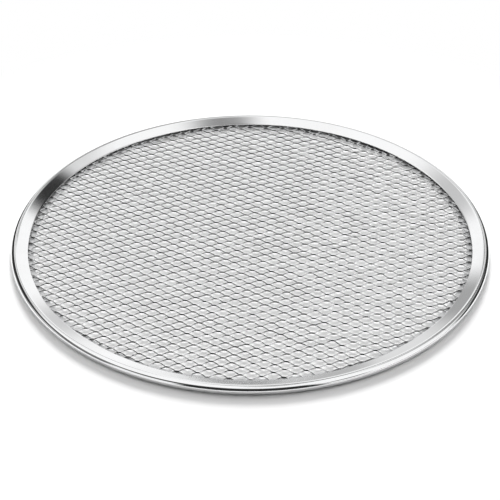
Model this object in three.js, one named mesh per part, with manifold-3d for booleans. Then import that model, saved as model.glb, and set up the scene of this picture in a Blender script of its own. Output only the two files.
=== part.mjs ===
// A round pizza screen: a disc of expanded aluminium mesh, clamped all round in a folded aluminium rim.
// Millimetres, +Z up. The origin is the centre of the ring on the surface that the screen lies on.
import * as THREE from "three";
import { mergeVertices } from "three/addons/utils/BufferGeometryUtils.js";
import Module from "manifold-3d";

// The rim, a strip folded into a channel and bent into a ring
const OUTER_DIAMETER = 304.8;
const RIM_FACE_WIDTH = 10.6;
const LOWER_LEG_OVERREACH = 3.5;
const RIM_HEIGHT = 5.4;
const STRIP_THICKNESS = 0.5;

// The expanded sheet: each opening is a diamond between four bonds
const LONG_PITCH = 25.4;
const SHORT_PITCH = 14.8;
const BOND_LENGTH = 4.2;
const STRAND_WIDTH = 1.9;
const SHEET_THICKNESS = 0.6;
const STRAND_TILT_DEG = 10;
const MESH_TURN_DEG = -4.5;

// The room that the mesh has in the rim
const MESH_CLEARANCE = 0.1;
const MESH_EDGE_CLEARANCE = 0.3;

// How finely round surfaces are faceted
const RING_SEGMENTS = 96;
const BEND_SEGMENTS = 9;

// Rolled strip and slit sheet, both bare aluminium
const RIM_FINISH = { color: 0xd2d3d5, roughness: 0.18, metalness: 1 };
const MESH_FINISH = { color: 0xc4c5c7, roughness: 0.3, metalness: 1 };

// Sizes that follow from those above
const outerRadius = OUTER_DIAMETER / 2;
const innerRadius = outerRadius - RIM_FACE_WIDTH;
const lowerLegRadius = innerRadius - LOWER_LEG_OVERREACH;
const bendRadius = RIM_HEIGHT / 2;
const bendCentre = new THREE.Vector2(outerRadius - bendRadius, bendRadius);
const tilt = THREE.MathUtils.degToRad(STRAND_TILT_DEG);
const meshDepth = 2 * STRAND_WIDTH * Math.sin(tilt) + SHEET_THICKNESS * Math.cos(tilt);
const meshMiddle = STRIP_THICKNESS + MESH_CLEARANCE + meshDepth / 2;
const meshTop = meshMiddle + meshDepth / 2;
const meshRadius = bendCentre.x - MESH_EDGE_CLEARANCE;

function namedMesh(name, geometry, finish) {
  const mesh = new THREE.Mesh(geometry, new THREE.MeshStandardMaterial(finish));
  mesh.name = name;
  return mesh;
}

// A point of the rim's section, at an angle round the bend's centre.
function onBend(radius, angle) {
  return new THREE.Vector2(radius * Math.cos(angle), radius * Math.sin(angle)).add(bendCentre);
}

// The section runs along the outside from the lower leg's edge to the lip, and back along the inside.
// The lower leg reaches further in under the mesh than the lip does above it.
function rimSection() {
  const lip = new THREE.Vector2(innerRadius, meshTop + MESH_CLEARANCE);
  const insideRadius = bendRadius - STRIP_THICKNESS;
  const toCentre = bendCentre.clone().sub(lip);
  const slope = toCentre.angle() + Math.asin(insideRadius / toCentre.length());
  const bottom = -Math.PI / 2;
  const sweep = Math.PI + slope;
  const acrossStrip = new THREE.Vector2(-Math.sin(slope), Math.cos(slope)).multiplyScalar(STRIP_THICKNESS);
  const outside = [];
  const inside = [];
  for (let i = 0; i <= BEND_SEGMENTS; i++) {
    const angle = bottom + (sweep * i) / BEND_SEGMENTS;
    outside.push(onBend(bendRadius, angle));
    inside.unshift(onBend(insideRadius, angle));
  }
  const lowerLegEdge = new THREE.Vector2(lowerLegRadius, 0);
  const lowerLegInside = new THREE.Vector2(lowerLegRadius, STRIP_THICKNESS);
  const section = [lowerLegEdge, ...outside, lip.clone().add(acrossStrip), lip, ...inside, lowerLegInside];
  return [...section, lowerLegEdge.clone()];
}

function makeRim() {
  const geometry = new THREE.LatheGeometry(rimSection(), RING_SEGMENTS);
  geometry.rotateX(Math.PI / 2);
  return namedMesh("rim", geometry, RIM_FINISH);
}

// The eight corners of one bond, upper and lower: its two crotches and the outer corners of its two strands.
// The bonds lean, with the side towards -Y raised, as slitting and stretching leaves them.
function bondCorners(x, y) {
  const corner = (along, across, side) =>
    new THREE.Vector3(
      x + along * (BOND_LENGTH / 2),
      y + across * STRAND_WIDTH * Math.cos(tilt) + side * (SHEET_THICKNESS / 2) * Math.sin(tilt),
      -across * STRAND_WIDTH * Math.sin(tilt) + side * (SHEET_THICKNESS / 2) * Math.cos(tilt),
    );
  const pair = (along, across) => ({ top: corner(along, across, 1), low: corner(along, across, -1) });
  return { right: pair(1, 0), back: pair(0, 1), left: pair(-1, 0), front: pair(0, -1) };
}

// Two triangles for a four-cornered face whose corners run anticlockwise seen from outside.
function quad(triangles, a, b, c, d) {
  triangles.push(a, b, c, a, c, d);
}

// One strand between two corners of a bond and the matching corners of the next bond.
function strand(triangles, nearStart, nearEnd, farEnd, farStart) {
  quad(triangles, nearStart.top, nearEnd.top, farEnd.top, farStart.top);
  quad(triangles, farStart.low, farEnd.low, nearEnd.low, nearStart.low);
  quad(triangles, nearStart.low, nearEnd.low, nearEnd.top, nearStart.top);
  quad(triangles, farEnd.low, farStart.low, farStart.top, farEnd.top);
}

// The cut end of a strand that runs on to no bond.
function strandEnd(triangles, a, b) {
  quad(triangles, a.low, b.low, b.top, a.top);
}

// Bonds in rows half a short pitch apart, every other row shifted by half a long pitch.
function expandedSheet(reach) {
  const bonds = new Map();
  const rows = Math.ceil(reach / (SHORT_PITCH / 2));
  const columns = Math.ceil(reach / LONG_PITCH);
  const key = (halfColumn, row) => halfColumn + "," + row;
  for (let row = -rows; row <= rows; row++)
    for (let column = -columns; column <= columns; column++) {
      const halfColumn = 2 * column + Math.abs(row % 2);
      const corners = bondCorners((halfColumn * LONG_PITCH) / 2, (row * SHORT_PITCH) / 2);
      bonds.set(key(halfColumn, row), { halfColumn, row, ...corners });
    }
  const triangles = [];
  for (const bond of bonds.values()) {
    const { halfColumn, row, right, back, left, front } = bond;
    quad(triangles, right.top, back.top, left.top, front.top);
    quad(triangles, front.low, left.low, back.low, right.low);
    const backRight = bonds.get(key(halfColumn + 1, row + 1));
    const backLeft = bonds.get(key(halfColumn - 1, row + 1));
    if (backRight) strand(triangles, right, backRight.front, backRight.left, back);
    else strandEnd(triangles, right, back);
    if (backLeft) strand(triangles, back, backLeft.right, backLeft.front, left);
    else strandEnd(triangles, back, left);
    if (!bonds.has(key(halfColumn - 1, row - 1))) strandEnd(triangles, left, front);
    if (!bonds.has(key(halfColumn + 1, row - 1))) strandEnd(triangles, front, right);
  }
  return new THREE.BufferGeometry().setFromPoints(triangles);
}

const wasm = await Module();
wasm.setup();

function toSolid(geometry) {
  const bare = geometry.clone();
  bare.deleteAttribute("normal");
  bare.deleteAttribute("uv");
  const merged = mergeVertices(bare);
  return new wasm.Manifold(
    new wasm.Mesh({
      numProp: 3,
      vertProperties: merged.attributes.position.array,
      triVerts: new Uint32Array(merged.index.array),
    }),
  );
}

function toGeometry(solid) {
  const { vertProperties, triVerts } = solid.getMesh();
  const geometry = new THREE.BufferGeometry();
  geometry.setAttribute("position", new THREE.BufferAttribute(vertProperties, 3));
  geometry.setIndex(new THREE.BufferAttribute(triVerts, 1));
  geometry.computeVertexNormals();
  return geometry;
}

// The sheet is turned in the rim, cut to a disc, and loses the loose ends that the cut leaves at its edge.
function makeMeshDisc() {
  const sheet = expandedSheet(meshRadius + LONG_PITCH);
  sheet.rotateZ(THREE.MathUtils.degToRad(MESH_TURN_DEG));
  const disc = new THREE.CylinderGeometry(meshRadius, meshRadius, 2 * meshDepth, RING_SEGMENTS);
  disc.rotateX(Math.PI / 2);
  const pieces = toSolid(sheet).intersect(toSolid(disc)).decompose();
  const largest = pieces.reduce((best, piece) => (piece.volume() > best.volume() ? piece : best));
  const mesh = namedMesh("mesh_disc", toGeometry(largest), MESH_FINISH);
  mesh.position.z = meshMiddle;
  return mesh;
}

const pizzaScreen = new THREE.Group();
pizzaScreen.name = "pizza_screen";
pizzaScreen.add(makeRim(), makeMeshDisc());

export default pizzaScreen;
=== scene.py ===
import math
import random

import bpy
from mathutils import Matrix, Vector


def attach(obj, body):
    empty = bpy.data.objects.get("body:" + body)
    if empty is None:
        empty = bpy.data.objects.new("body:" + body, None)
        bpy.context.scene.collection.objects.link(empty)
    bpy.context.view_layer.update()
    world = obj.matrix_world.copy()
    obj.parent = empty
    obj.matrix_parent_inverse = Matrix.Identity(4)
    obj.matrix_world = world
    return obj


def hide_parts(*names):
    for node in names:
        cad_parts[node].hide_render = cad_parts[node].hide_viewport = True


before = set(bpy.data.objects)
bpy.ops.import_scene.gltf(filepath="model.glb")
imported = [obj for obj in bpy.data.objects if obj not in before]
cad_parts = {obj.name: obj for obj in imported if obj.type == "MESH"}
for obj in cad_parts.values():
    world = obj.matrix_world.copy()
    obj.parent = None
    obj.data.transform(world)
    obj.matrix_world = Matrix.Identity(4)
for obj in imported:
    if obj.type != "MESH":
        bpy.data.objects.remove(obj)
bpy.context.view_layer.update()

MM = 0.001
WHITE = (1.0, 1.0, 1.0, 1.0)
UP = Vector((0, 0, 1))

# The folded rim, as the solids have it
OUTER_RADIUS = 152.4 * MM
FACE_WIDTH = 10.6 * MM
LOWER_LEG_OVERREACH = 3.5 * MM
RIM_HEIGHT = 5.4 * MM
STRIP = 0.5 * MM
LIP_UNDERSIDE = 2.05 * MM
LIP_ROUND = 0.16 * MM
LIP_CORNER = 0.05 * MM
RIM_SEGMENTS = 400
OUTER_BEND_STEPS = 30
INNER_BEND_STEPS = 12
NOSE_STEPS = 6
LEG_STEPS = 8
RIM_SHARP_DEG = 40.0

# The expanded sheet, at its real pitch. Its strands change from left to right, so some values have a second
# one for the right.
LONG_PITCH = 12.0 * MM
LONG_PITCH_DRIFT = 0.8 * MM
LONG_PITCH_BOW = -0.5 * MM
SHORT_PITCH = 6.8 * MM
LONG_AXIS_DEG = -4.5
SHORT_AXIS_DEG = 83.0
COLUMN_MARGIN = 1.3
ROW_MARGIN = 1.1
BOND_LENGTH = 1.4 * MM
RIGHT_BOND_LENGTH = 1.9 * MM
STRAND_WIDTH = 0.58 * MM
SHEET_THICKNESS = 0.85 * MM
STRAND_LEAN_DEG = 38.0
RIGHT_LEAN_DEG = 29.0
RIGHT_FROM = 0.1
RIGHT_TO = 0.65
EDGE_INSET = 0.16 * MM
RIGHT_EDGE_INSET = 0.26 * MM
EDGE_DROP = 0.25 * MM
BOND_INSET = 0.06 * MM
BOND_DROP = 0.06 * MM
SHEET_MIDDLE = 1.25 * MM
SHEET_REACH = 148.4 * MM
STRAND_STEPS = 5
STRAND_BOW = 0.12
SHEET_SHARP_DEG = 30.0
PLACE_JITTER = 0.18 * MM
HEIGHT_JITTER = 0.02 * MM
LEAN_JITTER_DEG = 3.0
RIGHT_UNEVENNESS = 1.1
SHEET_SEED = 11

# Finishes: a mask rises between two values of its noise, and clouds and grain lines are in millimetres
CLOUD_MASK = (0.35, 0.7)
GRAIN_MASK = (0.3, 0.7)
STRIP_BRIGHT = (0.9, 0.905, 0.91, 1.0)
STRIP_DULL = (0.87, 0.873, 0.875, 1.0)
STRIP_CLOUDS = 34.0
STRIP_LINE_LENGTH = 24.0
STRIP_LINE_WIDTH = 0.14
STRIP_BUMP = 0.01 * MM
MARKS_ROUGHEN = 0.03
SHEET_CLOUDS = 22.0
SHEET_LINE_RISE = 1.7
SHEET_BUMP = 0.02 * MM

# Painted shade on the outermost part of the rim, a darker band that stands in for the dark reflection of the
# lower outer bend: where it starts and where it is full
PAINTED_SHADE_FROM_ABOVE = (3.95 * MM, 3.35 * MM)
PAINTED_SHADE_FROM_BELOW = (1.9 * MM, 2.8 * MM)
PAINTED_SHADE_FROM_INSIDE = (150.8 * MM, 151.4 * MM)
PAINTED_SHADE_TINT = (0.66, 0.662, 0.665, 1.0)

# The camera, fitted to the ring's outlines
CAMERA_PLACE = Vector((3.6, -668.8, 466.1)) * MM
CAMERA_FORWARD = Vector((-0.00453, 0.81464, -0.57995))
CAMERA_RIGHT = Vector((0.99998, 0.00581, 0.00034))
SENSOR_MM = 36.0
LENS_MM = 90.96
CLIP_START = 0.01

# The floor, which turns plain white away from the object
FLOOR_RADIUS = 3.0
FLOOR_SEGMENTS = 96
FLOOR_COLOUR = (0.94, 0.94, 0.94, 1.0)
WHITE_FROM = 0.19
WHITE_TO = 0.30

# Lamps for the floor: azimuth from straight behind the object, elevation and spread in degrees, and strength
LAMPS = {
    "back": (0.0, 24.0, 25.0, 5.0),
    "left": (-62.0, 24.0, 30.0, 0.95),
    "right": (62.0, 24.0, 30.0, 0.9),
    "front": (172.0, 18.0, 12.0, 0.15),
    "top": (0.0, 80.0, 80.0, 1.3),
}

# The dome of the studio, seen only in reflections. Azimuth is from straight behind the object, positive to
# the right, and elevation from the floor, both in degrees.
ROOM_LEVEL = 0.03
# The canopy overhead: how low it hangs at the left, at the right and in front, and where it changes
CANOPY_LEVEL = 1.05
CANOPY_LEFT = 41.0
CANOPY_RIGHT = 49.0
CANOPY_FRONT = 60.0
CANOPY_EDGE = 4.0
CANOPY_SIDE_CHANGE = (5.0, 25.0)
CANOPY_FRONT_CHANGE = (85.0, 165.0)
# Soft boxes: left, right, low and high edge, width of the soft edge, level
BACK_PANEL = (-22.5, 21.5, -20.0, 46.0, 2.5, 1.06)
LOW_RIGHT = (8.0, 26.0, -12.0, 13.0, 3.0, 0.33)
LOW_LEFT = (-26.0, -8.5, -12.0, 11.0, 3.0, 0.33)
LEFT_STRIP = (-150.0, -54.0, -5.0, 13.0, 4.0, 0.55)
LEFT_FAR = (-150.0, -119.0, -5.0, 29.0, 4.0, 0.95)
RIGHT_BOX = (80.0, 148.0, 4.0, 58.0, 4.0, 1.06)
RIGHT_UPPER = (61.0, 86.0, 27.0, 56.0, 4.0, 1.0)
BOXES_UNDER_CANOPY = (BACK_PANEL, LOW_RIGHT, LOW_LEFT, LEFT_STRIP, LEFT_FAR)
BOXES_OVER_CANOPY = (RIGHT_BOX, RIGHT_UPPER)
# Soft ovals, each laid over those before it: azimuth, elevation, half width, half height, softness, level
STUDIO_OVALS = (
    (45.0, 48.0, 15.0, 18.0, 0.35, 0.42),
    (5.0, 47.0, 9.0, 11.0, 0.22, 0.12),
    (8.5, 39.5, 3.5, 3.5, 0.6, 0.5),
    (-7.5, 31.0, 5.0, 6.0, 0.4, 0.2),
    (25.0, 41.8, 6.5, 6.5, 0.4, 0.03),
    (-24.5, 41.5, 6.0, 8.0, 0.6, 0.6),
    (23.5, 53.0, 4.0, 3.5, 0.8, 0.75),
    (136.0, 29.0, 11.0, 7.0, 0.4, 0.05),
    (-79.0, 18.0, 13.0, 7.0, 0.5, 0.55),
    (-104.0, 31.0, 16.0, 6.0, 0.5, 0.3),
    (-3.5, 6.5, 3.5, 6.0, 0.7, 0.8),
    (11.0, 74.0, 13.0, 6.0, 0.5, 0.26),
    (-8.5, 17.0, 5.0, 6.5, 0.6, 0.4),
    (6.0, 12.0, 3.0, 4.0, 0.8, 0.66),
    (11.5, 34.2, 2.8, 3.6, 0.4, 0.2),
    (-1.6, 1.5, 1.8, 2.5, 0.5, 0.5),
)


# Small helpers

def link(obj):
    bpy.context.scene.collection.objects.link(obj)
    return obj


def mesh_object(name, points, faces, materials, face_materials=None):
    data = bpy.data.meshes.new(name)
    data.from_pydata(points, [], faces)
    for material in materials:
        data.materials.append(material)
    if face_materials:
        data.polygons.foreach_set("material_index", face_materials)
    data.polygons.foreach_set("use_smooth", [True] * len(data.polygons))
    data.validate()
    data.update()
    return link(bpy.data.objects.new(name, data))


def part_way(first, last, share):
    return first + (last - first) * share


class Nodes:
    """A node tree with short calls for adding and joining nodes."""

    # The mix node holds sockets of each kind side by side: the two inputs and the output of each
    MIX_SOCKETS = {"FLOAT": (2, 3, 0), "RGBA": (6, 7, 2)}

    def __init__(self, tree):
        self.tree = tree

    def add(self, kind, **settings):
        node = self.tree.nodes.new(kind)
        for key, value in settings.items():
            setattr(node, key, value)
        return node

    def feed(self, socket, value):
        if isinstance(value, bpy.types.NodeSocket):
            self.tree.links.new(value, socket)
        else:
            socket.default_value = value

    def math(self, operation, first, second=0.0, third=0.0):
        node = self.add("ShaderNodeMath", operation=operation)
        for socket, value in zip(node.inputs, (first, second, third)):
            self.feed(socket, value)
        return node.outputs[0]

    def hypotenuse(self, first, second):
        first_square = self.math("MULTIPLY", first, first)
        second_square = self.math("MULTIPLY", second, second)
        return self.math("SQRT", self.math("ADD", first_square, second_square))

    def split(self, vector):
        node = self.add("ShaderNodeSeparateXYZ")
        self.feed(node.inputs[0], vector)
        return node.outputs

    def length(self, vector):
        node = self.add("ShaderNodeVectorMath", operation="LENGTH")
        self.feed(node.inputs[0], vector)
        return node.outputs["Value"]

    def place(self):
        return self.add("ShaderNodeTexCoord").outputs["Object"]

    def between(self, value, low, high, to_low=0.0, to_high=1.0):
        node = self.add("ShaderNodeMapRange", interpolation_type="SMOOTHSTEP")
        for name, item in (
            ("Value", value), ("From Min", low), ("From Max", high), ("To Min", to_low), ("To Max", to_high)
        ):
            self.feed(node.inputs[name], item)
        return node.outputs["Result"]

    def mix(self, amount, first, second, kind="FLOAT"):
        node = self.add("ShaderNodeMix", data_type=kind)
        first_input, second_input, output = self.MIX_SOCKETS[kind]
        self.feed(node.inputs["Factor"], amount)
        self.feed(node.inputs[first_input], first)
        self.feed(node.inputs[second_input], second)
        return node.outputs[output]

    def mix_colour(self, amount, first, second):
        return self.mix(amount, first, second, "RGBA")

    def mix_shaders(self, amount, first, second):
        node = self.add("ShaderNodeMixShader")
        for socket, value in zip(node.inputs, (amount, first, second)):
            self.feed(socket, value)
        return node.outputs[0]

    def noise(self, vector, scale, detail, roughness):
        node = self.add("ShaderNodeTexNoise")
        self.feed(node.inputs["Vector"], vector)
        self.feed(node.inputs["Scale"], scale)
        self.feed(node.inputs["Detail"], detail)
        self.feed(node.inputs["Roughness"], roughness)
        return node.outputs["Fac"]

    def group(self, tree, **values):
        node = self.add("ShaderNodeGroup", node_tree=tree)
        for key, value in values.items():
            self.feed(node.inputs[key.replace("_", " ")], value)
        return node

    def bump(self, height, strength, distance):
        node = self.add("ShaderNodeBump")
        self.feed(node.inputs["Strength"], strength)
        self.feed(node.inputs["Distance"], distance)
        self.feed(node.inputs["Height"], height)
        return node.outputs["Normal"]


def new_group(name, inputs, outputs):
    """A shader node group with named number or vector sockets, and its two end nodes."""
    tree = bpy.data.node_groups.new(name, "ShaderNodeTree")
    for socket, kind, value in inputs:
        made = tree.interface.new_socket(socket, in_out="INPUT", socket_type=kind)
        made.default_value = value
    for socket, kind in outputs:
        tree.interface.new_socket(socket, in_out="OUTPUT", socket_type=kind)
    nodes = Nodes(tree)
    return tree, nodes, nodes.add("NodeGroupInput"), nodes.add("NodeGroupOutput")


NUMBER = "NodeSocketFloat"
VECTOR = "NodeSocketVector"


def new_material(name, metallic):
    material = bpy.data.materials.new(name)
    material.use_nodes = True
    nodes = Nodes(material.node_tree)
    nodes.tree.nodes.clear()
    shader = nodes.add("ShaderNodeBsdfPrincipled")
    output = nodes.add("ShaderNodeOutputMaterial")
    nodes.feed(output.inputs["Surface"], shader.outputs[0])
    shader.inputs["Metallic"].default_value = metallic
    return material, nodes, shader, output


# Finishes

def make_handling_marks():
    """Faint marks that bare aluminium gets from hands and ovens: a mask, cloudy over centimetres."""
    tree, nodes, given, result = new_group(
        "handling_marks",
        (("Position", VECTOR, (0.0, 0.0, 0.0)), ("Cloud Size", NUMBER, 30.0)),
        (("Mask", NUMBER),),
    )
    scale = nodes.math("DIVIDE", 1 / MM, given.outputs["Cloud Size"])
    cloud = nodes.noise(given.outputs["Position"], scale, detail=4.0, roughness=0.6)
    nodes.feed(result.inputs["Mask"], nodes.between(cloud, *CLOUD_MASK))
    return tree


def make_drawn_grain():
    """Fine lines along the way that the metal was rolled: a height and a mask from stretched noise."""
    tree, nodes, given, result = new_group(
        "drawn_grain",
        (
            ("Along", NUMBER, 0.0),
            ("Across", NUMBER, 0.0),
            ("Line Length", NUMBER, 30.0),
            ("Line Width", NUMBER, 0.12),
        ),
        (("Height", NUMBER), ("Mask", NUMBER)),
    )
    joined = nodes.add("ShaderNodeCombineXYZ")
    for socket, way, size in (("X", "Along", "Line Length"), ("Y", "Across", "Line Width")):
        metres = nodes.math("MULTIPLY", given.outputs[size], MM)
        nodes.feed(joined.inputs[socket], nodes.math("DIVIDE", given.outputs[way], metres))
    lines = nodes.noise(joined.outputs[0], scale=1.0, detail=3.0, roughness=0.65)
    nodes.feed(result.inputs["Height"], lines)
    nodes.feed(result.inputs["Mask"], nodes.between(lines, *GRAIN_MASK))
    return tree


HANDLING_MARKS = make_handling_marks()
DRAWN_GRAIN = make_drawn_grain()


def strip_finish(name, smooth, rough, bump_strength):
    """The strip of the rim: rolled along its length, so that its grain runs round the ring."""
    material, nodes, shader, _ = new_material(name, metallic=1.0)
    place = nodes.place()
    x, y, z = nodes.split(place)
    turn = nodes.math("ARCTAN2", y, x)
    radius = nodes.hypotenuse(x, y)
    grain = nodes.group(
        DRAWN_GRAIN,
        Along=nodes.math("MULTIPLY", turn, OUTER_RADIUS),
        Across=nodes.math("ADD", radius, z),
        Line_Length=STRIP_LINE_LENGTH,
        Line_Width=STRIP_LINE_WIDTH,
    )
    marks = nodes.group(HANDLING_MARKS, Position=place, Cloud_Size=STRIP_CLOUDS)
    tint = nodes.mix_colour(marks.outputs["Mask"], STRIP_BRIGHT, STRIP_DULL)
    # Painted shade: the lower outer bend gets a darker tint that stands in for the dark reflection there
    low_enough = nodes.between(z, *PAINTED_SHADE_FROM_ABOVE)
    high_enough = nodes.between(z, *PAINTED_SHADE_FROM_BELOW)
    outermost = nodes.between(radius, *PAINTED_SHADE_FROM_INSIDE)
    painted_shade = nodes.math("MULTIPLY", nodes.math("MULTIPLY", low_enough, high_enough), outermost)
    nodes.feed(shader.inputs["Base Color"], nodes.mix_colour(painted_shade, tint, PAINTED_SHADE_TINT))
    worn = nodes.mix(grain.outputs["Mask"], smooth, rough)
    roughness = nodes.math("MULTIPLY_ADD", marks.outputs["Mask"], MARKS_ROUGHEN, worn)
    nodes.feed(shader.inputs["Roughness"], roughness)
    nodes.feed(shader.inputs["Normal"], nodes.bump(grain.outputs["Height"], bump_strength, STRIP_BUMP))
    return material


def sheet_finish(name, bright, dull, smooth, rough, line_length, line_width, bump_strength):
    """The expanded sheet: its grain runs along the long way of the openings."""
    material, nodes, shader, _ = new_material(name, metallic=1.0)
    place = nodes.place()
    x, y, z = nodes.split(place)
    grain = nodes.group(
        DRAWN_GRAIN,
        Along=x,
        Across=nodes.math("MULTIPLY_ADD", z, SHEET_LINE_RISE, y),
        Line_Length=line_length,
        Line_Width=line_width,
    )
    marks = nodes.group(HANDLING_MARKS, Position=place, Cloud_Size=SHEET_CLOUDS)
    nodes.feed(shader.inputs["Base Color"], nodes.mix_colour(marks.outputs["Mask"], bright, dull))
    nodes.feed(shader.inputs["Roughness"], nodes.mix(grain.outputs["Mask"], smooth, rough))
    nodes.feed(shader.inputs["Normal"], nodes.bump(grain.outputs["Height"], bump_strength, SHEET_BUMP))
    return material


# The rim

ROLLED_STRIP = 0
CUT_EDGE = 1
STRIP_INSIDE = 2


def rim_section():
    """The closed outline of the folded strip, as radius and height, and the finish of each of its sides."""
    bend = RIM_HEIGHT / 2
    inside = bend - STRIP
    inner_radius = OUTER_RADIUS - FACE_WIDTH
    centre = Vector((OUTER_RADIUS - bend, bend))
    lip = Vector((inner_radius, LIP_UNDERSIDE))
    reach = centre - lip
    slope = math.atan2(reach.y, reach.x) + math.asin(inside / reach.length)
    nose = STRIP / 2
    quarter = math.pi / 2

    def arc(middle, radius, start, end, steps):
        angles = (start + (end - start) * i / steps for i in range(steps + 1))
        return [Vector((middle.x + radius * math.cos(a), middle.y + radius * math.sin(a))) for a in angles]

    def leg(first, last):
        return [first.lerp(last, step / LEG_STEPS) for step in range(1, LEG_STEPS)]

    along_leg = Vector((math.cos(slope), math.sin(slope)))
    across_leg = Vector((-math.sin(slope), math.cos(slope)))
    lip_crown = lip + along_leg * LIP_ROUND + across_leg * (STRIP - LIP_ROUND)
    lip_base = lip + (along_leg + across_leg) * LIP_CORNER
    lower_nose = Vector((inner_radius - LOWER_LEG_OVERREACH + nose, nose))
    outside = arc(centre, bend, -quarter, quarter + slope, OUTER_BEND_STEPS)
    lip_round = arc(lip_crown, LIP_ROUND, quarter + slope, 2 * quarter + slope, NOSE_STEPS)
    lip_round += arc(lip_base, LIP_CORNER, 2 * quarter + slope, 3 * quarter + slope, NOSE_STEPS)
    back = arc(centre, inside, quarter + slope, -quarter, INNER_BEND_STEPS)
    lower_round = arc(lower_nose, nose, quarter, 3 * quarter, NOSE_STEPS)
    top_leg = leg(outside[-1], lip_round[0])
    under_leg = leg(lip_round[-1], back[0])
    lower_leg = leg(back[-1], lower_round[0])
    sole = leg(lower_round[-1], outside[0])
    outline = []
    finish = []
    for part, part_finish in (
        (outside + top_leg, ROLLED_STRIP),
        (lip_round, CUT_EDGE),
        (under_leg + back + lower_leg, STRIP_INSIDE),
        (lower_round, CUT_EDGE),
        (sole, ROLLED_STRIP),
    ):
        outline += part
        finish += [part_finish] * len(part)
    return outline, finish


def make_rim(materials):
    section, finish = rim_section()
    count = len(section)
    points = []
    faces = []
    face_materials = []
    for step in range(RIM_SEGMENTS):
        turn = 2 * math.pi * step / RIM_SEGMENTS
        points += [(p.x * math.cos(turn), p.x * math.sin(turn), p.y) for p in section]
        here = step * count
        there = (step + 1) % RIM_SEGMENTS * count
        for i in range(count):
            j = (i + 1) % count
            faces.append((here + i, there + i, there + j, here + j))
            face_materials.append(finish[i])
    made = mesh_object("rim_ring", points, faces, materials, face_materials)
    made.data.set_sharp_from_angle(angle=math.radians(RIM_SHARP_DEG))
    return made


# The expanded sheet

ROLLED_FACE = 0
SLIT_EDGE = 1


def level_axis(degrees):
    turn = math.radians(degrees)
    return Vector((math.cos(turn), math.sin(turn), 0))


LONG_AXIS = level_axis(LONG_AXIS_DEG)
SHORT_AXIS = level_axis(SHORT_AXIS_DEG)


def inset_share(inset):
    """How far a rounded edge reaches in across the top, in strand widths."""
    return inset / STRAND_WIDTH


def wall_top(drop):
    """Where a rounded edge ends on the wall, in half thicknesses from the middle."""
    return 1 - 2 * drop / SHEET_THICKNESS


LEFT_TOP_INSET = inset_share(EDGE_INSET)
RIGHT_TOP_INSET = inset_share(RIGHT_EDGE_INSET)
BOND_TOP_INSET = inset_share(BOND_INSET)
STRAND_WALL = wall_top(EDGE_DROP)
BOND_WALL = wall_top(BOND_DROP)


class Sheet:
    """Bonds on a stretched lattice, and the strands between them, as one joined skin."""

    def __init__(self):
        self.points = []
        self.index = {}
        self.faces = []
        self.face_materials = []
        self.bonds = {}

    def vertex(self, key, place):
        if key not in self.index:
            self.index[key] = len(self.points)
            self.points.append(place)
        return self.index[key]

    def face(self, material, *corners):
        ring = [c for i, c in enumerate(corners) if c != corners[i - 1]]
        if len(ring) > 2:
            self.faces.append(tuple(ring))
            self.face_materials.append(material)


def column_places(reach):
    """Where the half columns of bonds lie along the long axis: the pitch drifts a little over the sheet."""
    places = {0: 0.0}
    for way in (1, -1):
        place = 0.0
        column = 0
        while abs(place) < reach:
            share = place / OUTER_RADIUS
            pitch = LONG_PITCH + LONG_PITCH_DRIFT * share + LONG_PITCH_BOW * share * share
            place += way * pitch / 2
            column += way
            places[column] = place
    return places


def share_to_right(place):
    """How far a place lies into the right of the sheet, where the strands lean less and lie less evenly."""
    share = (place.x / OUTER_RADIUS - RIGHT_FROM) / (RIGHT_TO - RIGHT_FROM)
    return min(max(share, 0.0), 1.0)


def lay_bonds(sheet):
    """Each bond's place and lean. The lattice starts past the sheet's edge, since its axes are turned."""
    draw = random.Random(SHEET_SEED)
    places = column_places(COLUMN_MARGIN * SHEET_REACH)
    rows = math.ceil(ROW_MARGIN * SHEET_REACH / (SHORT_PITCH / 2))
    for row in range(-rows, rows + 1):
        for column, along in sorted(places.items()):
            if (row + column) % 2:
                continue
            centre = LONG_AXIS * along + SHORT_AXIS * (row * SHORT_PITCH / 2)
            share = share_to_right(centre)
            uneven = 1 + RIGHT_UNEVENNESS * share
            shift = Vector((draw.gauss(0, 1), draw.gauss(0, 1), 0)) * (PLACE_JITTER * uneven)
            lift = draw.gauss(0, 1) * HEIGHT_JITTER
            lean = part_way(STRAND_LEAN_DEG, RIGHT_LEAN_DEG, share)
            lean = math.radians(lean + draw.gauss(0, 1) * LEAN_JITTER_DEG)
            if centre.length < SHEET_REACH:
                place = centre + shift + Vector((0, 0, SHEET_MIDDLE + lift))
                sheet.bonds[column, row] = (place, lean)


def bond_point(bond, along, across, side):
    """A point of a bond: along in half bond lengths, across in strand widths, side in half thicknesses."""
    place, lean = bond
    across_way = SHORT_AXIS * math.cos(lean) - UP * math.sin(lean)
    side_way = SHORT_AXIS * math.sin(lean) + UP * math.cos(lean)
    half_bond = part_way(BOND_LENGTH, RIGHT_BOND_LENGTH, share_to_right(place)) / 2
    half_sheet = SHEET_THICKNESS / 2
    return (
        place
        + LONG_AXIS * (along * half_bond)
        + across_way * (across * STRAND_WIDTH)
        + side_way * (side * half_sheet)
    )


def bond_edge(sheet, key, along, across):
    """Top, wall and low vertices of a bond at one place: on the middle line the edge isn't rounded."""
    bond = sheet.bonds[key]
    name = (key, along, across)
    if across == 0:
        top = sheet.vertex((name, "top"), bond_point(bond, along, 0, 1))
        low = sheet.vertex((name, "low"), bond_point(bond, along, 0, -1))
        return {"top": top, "wall": top, "low": low}
    return {
        "top": sheet.vertex((name, "top"), bond_point(bond, along, across * (1 - BOND_TOP_INSET), 1)),
        "wall": sheet.vertex((name, "wall"), bond_point(bond, along, across, BOND_WALL)),
        "low": sheet.vertex((name, "low"), bond_point(bond, along, across, -1)),
    }


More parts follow.
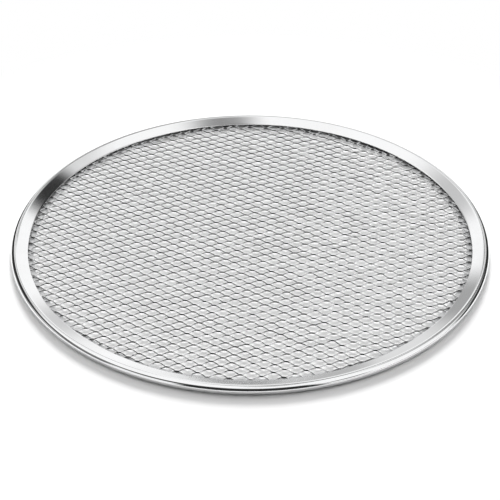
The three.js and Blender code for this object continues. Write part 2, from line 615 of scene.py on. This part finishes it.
def strand_edge(sheet, start, end, way, step, edge):
    """The same three vertices on a strand, part of the way from one bond to the next."""
    share = step / STRAND_STEPS
    first = sheet.bonds[start]
    last = sheet.bonds[end]
    to_right = share_to_right(first[0])
    top_inset = part_way(LEFT_TOP_INSET, RIGHT_TOP_INSET, to_right)
    bow = STRAND_BOW * (1 - to_right)
    curled = share + bow * math.sin(math.pi * share)
    from_across, to_across, inward = (0, -1, 1) if edge == "near" else (1, 0, -1)

    def place(inset, side):
        begin = bond_point(first, way, from_across + inward * inset, side)
        finish = bond_point(last, -way, to_across + inward * inset, side)
        along = (finish - begin).project(LONG_AXIS)
        across = finish - begin - along
        return begin + along * share + across * curled

    name = (start, way, step, edge)
    return {
        "top": sheet.vertex((name, "top"), place(top_inset, 1)),
        "wall": sheet.vertex((name, "wall"), place(0, STRAND_WALL)),
        "low": sheet.vertex((name, "low"), place(0, -1)),
    }


def bond_section(sheet, key, along, near_across):
    """The near and the far edge of one strand's width of a bond."""
    return bond_edge(sheet, key, along, near_across), bond_edge(sheet, key, along, near_across + 1)


def strand_section(sheet, start, end, way, step):
    return tuple(strand_edge(sheet, start, end, way, step, edge) for edge in ("near", "far"))


def skin(sheet, way, section, next_section, near_wall=True, far_wall=True):
    """The faces between two sections of a ribbon, turned to face outwards whichever way the ribbon runs."""
    near, far = section
    next_near, next_far = next_section

    def put(material, *corners):
        sheet.face(material, *(corners if way > 0 else corners[::-1]))

    put(ROLLED_FACE, near["top"], next_near["top"], next_far["top"], far["top"])
    put(ROLLED_FACE, far["low"], next_far["low"], next_near["low"], near["low"])
    if near_wall:
        put(SLIT_EDGE, near["low"], next_near["low"], next_near["wall"], near["wall"])
        put(ROLLED_FACE, near["wall"], next_near["wall"], next_near["top"], near["top"])
    if far_wall:
        put(SLIT_EDGE, next_far["low"], far["low"], far["wall"], next_far["wall"])
        put(ROLLED_FACE, next_far["wall"], far["wall"], far["top"], next_far["top"])


def cap(sheet, way, section):
    """The cut end of a ribbon."""
    near, far = section
    corners = (near["low"], far["low"], far["wall"], far["top"], near["top"], near["wall"])
    sheet.face(SLIT_EDGE, *(corners if way > 0 else corners[::-1]))


def weave_sheet(sheet):
    """From each bond, its two far strands to the bonds of the next row, and the near half of the bond."""
    for key in sorted(sheet.bonds):
        column, row = key
        for way in (1, -1):
            middle = bond_section(sheet, key, 0, 0)
            here = bond_section(sheet, key, way, 0)
            skin(sheet, way, middle, here, near_wall=False)
            end = (column + way, row + 1)
            if end in sheet.bonds:
                for step in range(1, STRAND_STEPS):
                    there = strand_section(sheet, key, end, way, step)
                    skin(sheet, way, here, there)
                    here = there
                skin(sheet, way, here, bond_section(sheet, end, -way, -1))
            else:
                cap(sheet, way, here)
            front = bond_section(sheet, key, way, -1)
            front_middle = bond_section(sheet, key, 0, -1)
            skin(sheet, way, front_middle, front, far_wall=False)
            if (column + way, row - 1) not in sheet.bonds:
                cap(sheet, way, front)


def make_sheet(materials):
    sheet = Sheet()
    lay_bonds(sheet)
    weave_sheet(sheet)
    made = mesh_object("expanded_sheet", sheet.points, sheet.faces, materials, sheet.face_materials)
    made.data.set_sharp_from_angle(angle=math.radians(SHEET_SHARP_DEG))
    return made


# Studio

def make_floor():
    points = [(0.0, 0.0, 0.0)]
    for step in range(FLOOR_SEGMENTS):
        turn = 2 * math.pi * step / FLOOR_SEGMENTS
        points.append((FLOOR_RADIUS * math.cos(turn), FLOOR_RADIUS * math.sin(turn), 0.0))
    faces = [(0, i + 1, (i + 1) % FLOOR_SEGMENTS + 1) for i in range(FLOOR_SEGMENTS)]
    material, nodes, shader, output = new_material("studio_floor", metallic=0.0)
    shader.inputs["Base Color"].default_value = FLOOR_COLOUR
    shader.inputs["Roughness"].default_value = 1.0
    shader.inputs["Specular IOR Level"].default_value = 0.0
    path = nodes.add("ShaderNodeLightPath")
    seen = nodes.math("MAXIMUM", path.outputs["Is Camera Ray"], path.outputs["Is Glossy Ray"])
    seen = nodes.math("MAXIMUM", seen, path.outputs["Is Transmission Ray"])
    away = nodes.between(nodes.length(nodes.place()), WHITE_FROM, WHITE_TO)
    white = nodes.add("ShaderNodeEmission")
    white.inputs["Color"].default_value = WHITE
    white.inputs["Strength"].default_value = 1.0
    amount = nodes.math("MULTIPLY", seen, away)
    nodes.feed(output.inputs["Surface"], nodes.mix_shaders(amount, shader.outputs[0], white.outputs[0]))
    floor = mesh_object("floor", points, faces, [material])


def soft_box(nodes, azimuth, elevation, left, right, low, high, edge):
    """A mask that is 1 between two azimuths and two elevations."""
    sides = (
        nodes.between(azimuth, left - edge, left + edge),
        nodes.between(azimuth, right - edge, right + edge, 1.0, 0.0),
        nodes.between(elevation, low - edge, low + edge),
        nodes.between(elevation, high - edge, high + edge, 1.0, 0.0),
    )
    mask = sides[0]
    for side in sides[1:]:
        mask = nodes.math("MULTIPLY", mask, side)
    return mask


def soft_oval(nodes, azimuth, elevation, at_azimuth, at_elevation, half_width, half_height, softness):
    """A mask that is 1 inside an oval round an azimuth and elevation."""
    side = nodes.math("DIVIDE", nodes.math("SUBTRACT", azimuth, at_azimuth), half_width)
    rise = nodes.math("DIVIDE", nodes.math("SUBTRACT", elevation, at_elevation), half_height)
    return nodes.between(nodes.hypotenuse(side, rise), 1.0 - softness, 1.0 + softness, 1.0, 0.0)


def dome_level(nodes, azimuth, elevation):
    """How bright the dome is in each direction: the room, then what hangs in it, one over the other."""
    level = ROOM_LEVEL
    for *box, box_level in BOXES_UNDER_CANOPY:
        level = nodes.mix(soft_box(nodes, azimuth, elevation, *box), level, box_level)
    side_edge = nodes.between(azimuth, *CANOPY_SIDE_CHANGE, CANOPY_LEFT, CANOPY_RIGHT)
    to_front = nodes.between(nodes.math("ABSOLUTE", azimuth), *CANOPY_FRONT_CHANGE)
    above = nodes.math("SUBTRACT", elevation, nodes.mix(to_front, side_edge, CANOPY_FRONT))
    level = nodes.mix(nodes.between(above, -CANOPY_EDGE, CANOPY_EDGE), level, CANOPY_LEVEL)
    for *box, box_level in BOXES_OVER_CANOPY:
        level = nodes.mix(soft_box(nodes, azimuth, elevation, *box), level, box_level)
    for *oval, oval_level in STUDIO_OVALS:
        level = nodes.mix(soft_oval(nodes, azimuth, elevation, *oval), level, oval_level)
    return level


def light_studio():
    """A world that is white behind the object and shows the dome to what reflects it."""
    world = bpy.data.worlds.new("studio")
    bpy.context.scene.world = world
    world.cycles_visibility.diffuse = False
    world.use_nodes = True
    nodes = Nodes(world.node_tree)
    nodes.tree.nodes.clear()
    x, y, z = nodes.split(nodes.add("ShaderNodeTexCoord").outputs["Generated"])
    azimuth = nodes.math("DEGREES", nodes.math("ARCTAN2", x, y))
    elevation = nodes.math("DEGREES", nodes.math("ARCSINE", z))
    dome = nodes.add("ShaderNodeBackground")
    dome.inputs["Color"].default_value = WHITE
    nodes.feed(dome.inputs["Strength"], dome_level(nodes, azimuth, elevation))
    white = nodes.add("ShaderNodeBackground")
    white.inputs["Color"].default_value = WHITE
    seen = nodes.add("ShaderNodeLightPath").outputs["Is Camera Ray"]
    output = nodes.add("ShaderNodeOutputWorld")
    nodes.feed(output.inputs["Surface"], nodes.mix_shaders(seen, dome.outputs[0], white.outputs[0]))


def make_lamp(name, azimuth, elevation, spread, strength):
    data = bpy.data.lights.new(name, "SUN")
    data.energy = strength
    data.angle = math.radians(spread)
    lamp = link(bpy.data.objects.new(name, data))
    turn = math.radians(azimuth)
    rise = math.radians(elevation)
    towards = Vector((math.sin(turn) * math.cos(rise), math.cos(turn) * math.cos(rise), math.sin(rise)))
    lamp.rotation_euler = towards.to_track_quat("Z", "Y").to_euler()
    lamp.location = towards
    lamp.visible_glossy = False


def make_camera():
    data = bpy.data.cameras.new("camera")
    data.sensor_width = SENSOR_MM
    data.lens = LENS_MM
    data.clip_start = CLIP_START
    camera = link(bpy.data.objects.new("camera", data))
    forward = CAMERA_FORWARD.normalized()
    right = (CAMERA_RIGHT - forward * CAMERA_RIGHT.dot(forward)).normalized()
    up = right.cross(forward)
    turn = Matrix((right, up, -forward)).transposed().to_4x4()
    camera.matrix_world = Matrix.Translation(CAMERA_PLACE) @ turn
    bpy.context.scene.camera = camera


make_camera()
light_studio()
for lamp_name, lamp_values in LAMPS.items():
    make_lamp(lamp_name, *lamp_values)
make_floor()

rolled_strip = strip_finish("rolled_strip", smooth=0.055, rough=0.08, bump_strength=0.12)
cut_edge = strip_finish("cut_strip_edge", smooth=0.2, rough=0.3, bump_strength=0.2)
strip_inside = strip_finish("strip_inside", smooth=0.45, rough=0.6, bump_strength=0.2)
rim = make_rim([rolled_strip, cut_edge, strip_inside])
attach(rim, "root")
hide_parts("rim")

rolled_face = sheet_finish(
    "sheet_face",
    bright=(0.88, 0.885, 0.89, 1.0),
    dull=(0.82, 0.824, 0.828, 1.0),
    smooth=0.24,
    rough=0.34,
    line_length=6.0,
    line_width=0.16,
    bump_strength=0.25,
)
# The slit edges are darker than the rolled faces: partly the duller sheared metal, partly painted shade for
# the edges' micro-shadowing, which darkens the lines they draw
slit_edge = sheet_finish(
    "sheet_slit_edge",
    bright=(0.52, 0.523, 0.526, 1.0),
    dull=(0.45, 0.453, 0.456, 1.0),
    smooth=0.08,
    rough=0.14,
    line_length=0.3,
    line_width=0.12,
    bump_strength=0.2,
)
expanded_sheet = make_sheet([rolled_face, slit_edge])
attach(expanded_sheet, "root")
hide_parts("mesh_disc")

bpy.context.scene.view_settings.view_transform = "Standard"
